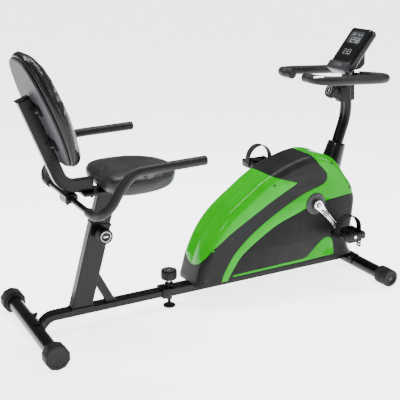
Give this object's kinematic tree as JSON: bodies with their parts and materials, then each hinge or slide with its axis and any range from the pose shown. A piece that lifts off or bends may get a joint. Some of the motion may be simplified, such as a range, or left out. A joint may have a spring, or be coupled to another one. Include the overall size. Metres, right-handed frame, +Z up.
{
  "type": "exercise bike",
  "caption": "Recumbent exercise bike with an adjustable padded seat and backrest, side handles, belt-driven flywheel under a two-tone shroud, pedals, handlebar and tilted console.",
  "frame": {"origin": "on the floor, midway along and across the bike's overall box", "axes": "+X points forward towards the handlebar, +Y to the rider's left, +Z up"},
  "size_m": [1.4802, 0.6266, 1.0011],
  "materials": {
    "black_paint": "gloss black powder coat",
    "shroud_black": "satin charcoal moulding",
    "shroud_green": "high gloss green moulding",
    "foam": "closed-cell foam sleeve, matt",
    "vinyl": "grained leatherette over foam",
    "panel": "textured charcoal board",
    "black_plastic": "satin black moulding",
    "grey_plastic": "matt dark grey moulding",
    "rubber": "matt black rubber",
    "chrome": "polished plate",
    "steel": "turned steel",
    "cast_iron": "machined casting",
    "screen": "clear window over a grey display"
  },
  "bodies": {
    "front_frame": {"main_frame": "black_paint", "front_stabiliser": "black_paint", "front_cap_left": "rubber", "front_cap_right": "rubber", "shroud_left": "shroud_black", "shroud_right": "shroud_black", "shroud_band_left": "shroud_black", "shroud_band_right": "shroud_black", "wing_left": "shroud_green", "wing_right": "shroud_green", "cowl_left": "shroud_green", "cowl_right": "shroud_green", "trim_left": "shroud_green", "trim_right": "shroud_green", "axle_cover_left": "grey_plastic", "axle_cover_right": "grey_plastic", "post_sleeve": "black_paint", "handle_post": "black_paint", "handlebar_clamp": "black_plastic", "handlebar_tube": "black_paint", "bar_grip_left": "foam", "bar_grip_right": "foam", "pulse_plate_left": "chrome", "pulse_plate_right": "chrome", "console_bracket": "black_plastic", "console_housing": "black_plastic", "console_window": "screen", "tension_housing": "black_plastic", "rail_star_nut": "black_plastic", "drive_belt": "rubber", "flywheel_axle": "steel"},
    "rear_slide": {"rear_frame": "black_paint", "rear_stabiliser": "black_paint", "rear_cap_left": "rubber", "rear_cap_right": "rubber"},
    "seat_carriage": {"seat_frame": "black_paint", "seat_cushion": "vinyl", "back_panel": "panel", "back_cushion": "vinyl", "side_handle_tube": "black_paint", "side_handle_clamp": "black_paint", "side_grip_left": "foam", "side_grip_right": "foam"},
    "seat_pull_knob": {"seat_knob": "black_plastic"},
    "rail_pull_knob": {"rail_knob": "black_plastic"},
    "foot": {"levelling_foot": "rubber"},
    "crank": {"crank_axle": "steel", "drive_pulley": "black_plastic", "crank_arm_left": "chrome", "crank_arm_right": "chrome"},
    "left_pedal": {"pedal_left": "black_plastic", "pedal_strap_left": "rubber"},
    "right_pedal": {"pedal_right": "black_plastic", "pedal_strap_right": "rubber"},
    "flywheel_wheel": {"flywheel": "cast_iron"},
    "magnet_swing_arm": {"magnet_arm": "steel"},
    "resistance_dial": {"tension_knob": "black_plastic"},
    "console_key": {"console_button": "grey_plastic"},
    "left_transport_wheel": {"transport_wheel_left": "rubber"},
    "right_transport_wheel": {"transport_wheel_right": "rubber"}
  },
  "joints": [
    {"name": "rail_slide", "type": "slide", "parent": "front_frame", "child": "rear_slide", "axis": [1, 0, 0], "range_m": [-0.113, 0.1695]},
    {"name": "seat_height_slide", "type": "slide", "parent": "rear_slide", "child": "seat_carriage", "axis": [0.2689, 0, 0.9632], "range_m": [-0.06, 0.12]},
    {"name": "seat_knob_pull", "type": "slide", "parent": "rear_slide", "child": "seat_pull_knob", "axis": [0, -1, 0], "range_m": [0, 0.012], "stiffness_N_per_m": 800},
    {"name": "rail_knob_pull", "type": "slide", "parent": "front_frame", "child": "rail_pull_knob", "axis": [0, 0, 1], "range_m": [0, 0.012], "stiffness_N_per_m": 800},
    {"name": "levelling_foot_slide", "type": "slide", "parent": "front_frame", "child": "foot", "axis": [0, 0, 1], "range_m": [0, 0.012]},
    {"name": "crank_spin", "type": "hinge", "parent": "front_frame", "child": "crank", "pos_m": [0.4409, 0, 0.342], "axis": [0, 1, 0], "continuous": true},
    {"name": "flywheel_spin", "type": "hinge", "parent": "front_frame", "child": "flywheel_wheel", "pos_m": [0.1879, 0, 0.25], "axis": [0, 1, 0], "continuous": true},
    {"name": "left_pedal_spin", "type": "hinge", "parent": "crank", "child": "left_pedal", "pos_m": [0.32985, 0.16, 0.46404], "axis": [0, 1, 0], "continuous": true},
    {"name": "right_pedal_spin", "type": "hinge", "parent": "crank", "child": "right_pedal", "pos_m": [0.55195, -0.16, 0.21996], "axis": [0, 1, 0], "continuous": true},
    {"name": "resistance_turn", "type": "hinge", "parent": "front_frame", "child": "resistance_dial", "pos_m": [0.6008, 0, 0.748], "axis": [-0.9272, 0, 0.3746], "range_deg": [0, 300]},
    {"name": "magnet_swing", "type": "hinge", "parent": "front_frame", "child": "magnet_swing_arm", "pos_m": [0.0699, 0, 0.112], "axis": [0, -1, 0], "range_deg": [0, 8]},
    {"name": "console_key_press", "type": "slide", "parent": "front_frame", "child": "console_key", "axis": [0.7815, 0, -0.6239], "range_m": [0, 0.0015], "stiffness_N_per_m": 600},
    {"name": "left_wheel_spin", "type": "hinge", "parent": "front_frame", "child": "left_transport_wheel", "pos_m": [0.6979, 0.253, 0.0361], "axis": [0, 1, 0], "continuous": true},
    {"name": "right_wheel_spin", "type": "hinge", "parent": "front_frame", "child": "right_transport_wheel", "pos_m": [0.6979, -0.253, 0.0361], "axis": [0, 1, 0], "continuous": true}
  ],
  "couplings": [
    {"joint": "flywheel_spin", "follows": "crank_spin", "ratio": 4},
    {"joint": "magnet_swing", "follows": "resistance_turn", "ratio": 0.026667}
  ]
}
